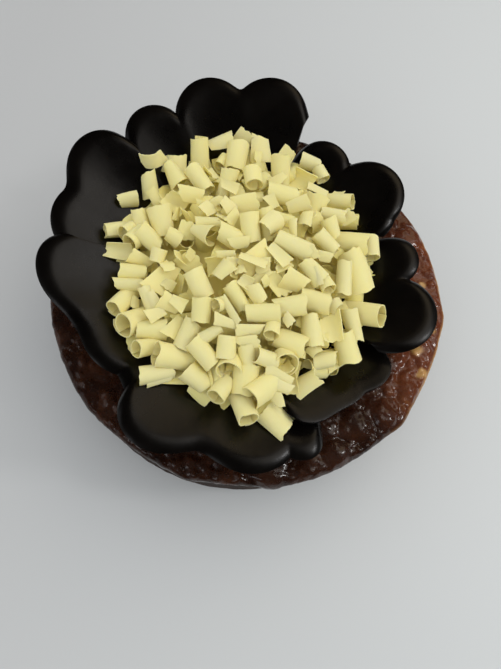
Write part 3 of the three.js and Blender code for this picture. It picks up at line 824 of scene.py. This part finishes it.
class Pile:
    # the height of what lies on the flower so far, on a square grid
    def __init__(self, pieces):
        self.count = int(2 * heap["span"] / heap["step"])
        self.height = np.full((self.count, self.count), float(cake["height"]))
        trees = [BVHTree.FromObject(piece, bpy.context.evaluated_depsgraph_get()) for piece in pieces]
        for i in range(self.count):
            for j in range(self.count):
                x, y = self.middleOf(i), self.middleOf(j)
                for tree in trees:
                    hit = tree.ray_cast(Vector((x, y, 200)) * mm, Vector((0, 0, -1)))[0]
                    if hit:
                        self.height[i, j] = max(self.height[i, j], hit.z / mm)
        # narrow gaps between the petals hold a curl up as the petals do
        reach = heap["bridge"]
        self.height = spreadCells(spreadCells(self.height, reach, np.max), reach, np.min)
        self.bare = self.height.copy()

    def middleOf(self, index):
        return (index + 0.5) * heap["step"] - heap["span"]

    def cells(self, x, y):
        low, high = 0, self.count - 1
        i = np.clip(((x + heap["span"]) / heap["step"]).astype(int), low, high)
        j = np.clip(((y + heap["span"]) / heap["step"]).astype(int), low, high)
        return i, j

    def at(self, x, y, reach=2.4):
        offsets = np.linspace(-reach, reach, 5)
        gridX, gridY = np.meshgrid(x + offsets, y + offsets)
        return float(self.height[self.cells(gridX, gridY)].mean())

    def slope(self, x, y, reach=4.5):
        slopeX = (self.at(x + reach, y) - self.at(x - reach, y)) / (2 * reach)
        slopeY = (self.at(x, y + reach) - self.at(x, y - reach)) / (2 * reach)
        most = heap["steepest"]
        return max(-most, min(most, slopeX)), max(-most, min(most, slopeY))

    def rest(self, skin, x, y, bare=False):
        # how high a curl's middle comes to lie, when a few of its points may press in
        cells = self.cells(skin[:, 0] + x, skin[:, 1] + y)
        height = self.bare if bare else self.height
        needs = np.sort(height[cells] - skin[:, 2])
        return needs[-1 - len(needs) // 30] + curl["thickness"] / 2 - heap["sink"]

    def stamp(self, skin, x, y, z):
        top = skin[:, 2] + z + curl["thickness"] / 2
        for shiftX in (-0.3, 0.3):
            for shiftY in (-0.3, 0.3):
                cells = self.cells(skin[:, 0] + x + shiftX, skin[:, 1] + y + shiftY)
                np.maximum.at(self.height, cells, top)


def turnOf(direction, pitch, roll):
    return (
        Matrix.Rotation(math.radians(direction), 3, "Z")
        @ Matrix.Rotation(math.radians(-pitch), 3, "Y")
        @ Matrix.Rotation(math.radians(roll), 3, "X")
    )


def looseTurn(kind, chance):
    loose = heap["loose"]
    if kind in ("tube", "scroll"):
        roll = chance.uniform(0, 360)
    else:
        roll = 0 if chance.random() < loose["hollow"] else 180
        roll += chance.uniform(-loose["roll"], loose["roll"])
    if chance.random() < loose["upright"]:
        pitch = chance.uniform(*loose["uprightPitch"])
    else:
        pitch = chance.gauss(0, loose["pitch"])
    return turnOf(chance.uniform(0, 360), pitch, roll)


def placeCurl(pile, template, turn, sizes, x, y):
    grown = turn @ Matrix.Diagonal(sizes)
    skin = template["skin"] @ np.array(grown).T
    return {"template": template, "turn": grown, "skin": skin, "place": (x, y, pile.rest(skin, x, y))}


def keepCurl(pile, laid, found):
    laid.append(found)
    pile.stamp(found["skin"], *found["place"])


def scatterCurls(pile, templates, laid, plan, shares):
    # each loose curl tries some places and keeps the lowest
    chance = random.Random(plan["seed"])
    for _ in range(plan["trials"]):
        draw = chance.random()
        kind = next(kind for kind, share in shares if draw < share)
        template = chance.choice(templates[kind])
        turn = looseTurn(kind, chance)
        size = between(plan["size"], chance.random())
        best, most = None, -plan["over"]
        for _ in range(plan["places"]):
            angle = chance.uniform(0, 360)
            x, y, _z = polar((heapEdge(angle) - plan["inset"]) * math.sqrt(chance.random()), angle, 0)
            slopeX, slopeY = pile.slope(x, y)
            tip = Vector((0, 0, 1)).rotation_difference(Vector((-slopeX, -slopeY, 1))).to_matrix()
            found = placeCurl(pile, template, tip @ turn, (size, size, size), x, y)
            depth = plan["depth"] * (1 - (math.hypot(x, y) / heapEdge(angle)) ** 3)
            room = heapTop(x, y) - depth - found["place"][2] - found["skin"][:, 2].max()
            if room > most:
                best, most = found, room
        if best:
            keepCurl(pile, laid, best)


def layTopCurls(pile, templates, laid):
    chance = random.Random(heap["topSeed"])
    for kind, x, y, direction, pitch, roll, length, width in heap["topCurls"]:
        template = chance.choice(templates[kind])
        wide = heap["swollen"] * width / template["size"][1]
        sizes = (heap["swollen"] * length / template["size"][0], wide, wide)
        found = placeCurl(pile, template, turnOf(direction, pitch, roll), sizes, x, y)
        highest = heapTop(x, y) - heap["depths"][kind] * width + heap["press"]
        lowest = pile.rest(found["skin"], x, y, bare=True)
        found["place"] = (x, y, max(lowest, min(found["place"][2], highest)))
        keepCurl(pile, laid, found)


def pileCurls(pile, templates):
    laid = []
    core = makeCore(lambda x, y: pile.at(x, y, 1.2))
    fillCore(pile)
    scatterCurls(pile, templates, laid, heap["fill"], heap["fillShares"])
    print("curls inside:", len(laid))
    layTopCurls(pile, templates, laid)
    print("with those on top:", len(laid))
    scatterCurls(pile, templates, laid, heap["chips"], heap["chipShares"])
    scatterCurls(pile, templates, laid, heap["middle"], heap["chipShares"])
    return core, laid


def fillCore(pile):
    for i in range(pile.count):
        for j in range(pile.count):
            x, y = pile.middleOf(i), pile.middleOf(j)
            share = math.hypot(x, y) / (heapEdge(math.degrees(math.atan2(y, x))) - heap["coreInset"])
            if share < 1:
                pile.height[i, j] += coreRise(x, y, pile.height[i, j], share)


def joinCurls(kind, laid, chance):
    bpy.ops.object.select_all(action="DESELECT")
    made = []
    for found in laid:
        if found["template"]["kind"] != kind:
            continue
        mesh = found["template"]["piece"].data.copy()
        mesh.transform(Matrix.Translation(Vector(found["place"]) * mm) @ found["turn"].to_4x4())
        piece = bpy.data.objects.new("curl", mesh)
        bpy.context.scene.collection.objects.link(piece)
        x, y, z = found["place"]
        # curls lying deeper under the heap's top get more of the deeper yellow, painted shade; the rest
        # of the tone varies at random
        outOfShade = min(1, max(0, 1 - (heapTop(x, y) - z) / curl["shadeDepth"]))
        pointValues(piece, "toneAndShade", [0.3 * chance.random() + 0.7 * outOfShade] * len(mesh.vertices))
        made.append(piece)
    for piece in made:
        piece.select_set(True)
    bpy.context.view_layer.objects.active = made[0]
    bpy.ops.object.join()
    joined = startPiece("white_curls_" + kind + "s")
    return joined, len(made)


def makeWhiteChocolate():
    material, tree, shader = newMaterial(
        "white_chocolate", Roughness=0.6, IOR=1.4,
        Subsurface_Weight=0.4, Subsurface_Radius=(1.0, 0.8, 0.35), Subsurface_Scale=0.0014,
    )
    coordinates = addNode(tree, "ShaderNodeTexCoord")
    cloud = noiseNode(tree, coordinates.outputs["Object"], 120, 3, 0.5)
    # the deeper yellow is painted shade for curls deep in the heap, the paler one is for curls near its
    # top
    shadedToPale = mixNode(tree, valueOf(tree, "toneAndShade"), (0.89, 0.77, 0.26), (0.87, 0.77, 0.385))
    rich = mixNode(tree, rampNode(tree, cloud, (0.35, 0.0), (0.75, 0.4)), shadedToPale, (0.87, 0.765, 0.32))
    tree.links.new(rich, shader.inputs["Base Color"])
    stretch = addNode(tree, "ShaderNodeMapping")
    stretch.inputs["Scale"].default_value = (2.0, 40.0, 1.0)
    tree.links.new(coordinates.outputs["UV"], stretch.inputs["Vector"])
    grooves = bumpNode(tree, noiseNode(tree, stretch.outputs["Vector"], 1.0, 3, 0.6), 0.12, 0.35)
    grain = bumpNode(tree, noiseNode(tree, coordinates.outputs["Object"], 1500, 2), 0.05, 0.3, grooves)
    tree.links.new(grain, shader.inputs["Normal"])
    return material


templates = makeTemplates()
print("curl shapes made:", sum(len(shapes) for shapes in templates.values()))
pile = Pile(petals + [glazePiece])
core, laid = pileCurls(pile, templates)
whiteChocolate = makeWhiteChocolate()
dressPiece(core, whiteChocolate, "white_chocolate", "curl_heap")
# the core takes the full deeper yellow: painted shade of the heap's inside
pointValues(core, "toneAndShade", [0] * len(core.data.vertices))
shadeSmooth(core)
chance = random.Random(heap["toneSeed"])
for kind in curl["kinds"]:
    joined, count = joinCurls(kind, laid, chance)
    dressPiece(joined, whiteChocolate, "white_chocolate", "curl_heap")
    print(kind, "curls:", count, "faces:", len(joined.data.polygons))
for shapes in templates.values():
    for template in shapes:
        bpy.data.objects.remove(template["piece"])
print("heap made:", len(laid))


# floor and light

room = {
    "floorSize": 6,
    # the floor is painted darker to the left and lighter to the right: painted shade and light, as if lit
    # from the right
    "floorShadeReach": 0.16,
    "floorShadedLeft": (0.52, 0.525, 0.525),
    "floorLitRight": (0.63, 0.65, 0.65),
    "air": (0.86, 0.88, 0.90),
    "airStrength": 0.82,
    "lights": [
        # place in metres, width, power, colour, seen in reflections
        ((0.3, 0.1, 0.9), 1.2, 1.7, (1.0, 0.98, 0.93), False),
        ((0.55, 0.3, 1.0), 0.55, 1.0, (1.0, 0.93, 0.84), True),
        ((0.36, 0.85, 0.9), 0.5, 0.65, (1.0, 0.8, 0.52), True),
        ((0.75, 0.1, 0.8), 0.15, 1.3, (1.0, 1.0, 1.0), True),
        ((-0.45, -0.8, 0.75), 0.3, 0.5, (0.95, 0.97, 1.0), True),
        ((-1.1, -0.4, 0.4), 1.0, 1.1, (0.97, 0.98, 1.0), True),
    ],
}


def makeFloor():
    bpy.ops.object.select_all(action="DESELECT")
    bpy.ops.mesh.primitive_plane_add(size=room["floorSize"])
    floor = startPiece("floor")
    material, tree, shader = newMaterial("floor", Roughness=0.55)
    place = addNode(tree, "ShaderNodeTexCoord").outputs["Object"]
    across = addNode(tree, "ShaderNodeMapRange")
    across.inputs["From Min"].default_value = -room["floorShadeReach"]
    across.inputs["From Max"].default_value = room["floorShadeReach"]
    split = addNode(tree, "ShaderNodeSeparateXYZ")
    tree.links.new(place, split.inputs["Vector"])
    tree.links.new(split.outputs["X"], across.inputs["Value"])
    # painted shade and light: the floor's colour runs from darker on the left to lighter on the right
    shade = mixNode(tree, across.outputs["Result"], room["floorShadedLeft"], room["floorLitRight"])
    tree.links.new(shade, shader.inputs["Base Color"])
    floor.data.materials.append(material)


def makeLight(place, width, power, colour, mirrored):
    bpy.ops.object.light_add(type="AREA", location=place)
    light = bpy.context.object
    light.data.size = width
    light.data.energy = power
    light.data.color = colour
    light.rotation_euler = (-Vector(place)).to_track_quat("-Z", "Y").to_euler()
    light.visible_glossy = mirrored


def makeAir():
    world = bpy.data.worlds.new("air")
    world.use_nodes = True
    sky = world.node_tree.nodes["Background"]
    sky.inputs["Color"].default_value = (*room["air"], 1)
    sky.inputs["Strength"].default_value = room["airStrength"]
    world.cycles_visibility.glossy = False
    bpy.context.scene.world = world


makeFloor()
for light in room["lights"]:
    makeLight(*light)
makeAir()
bpy.context.scene.view_settings.view_transform = "Standard"
print("room made")
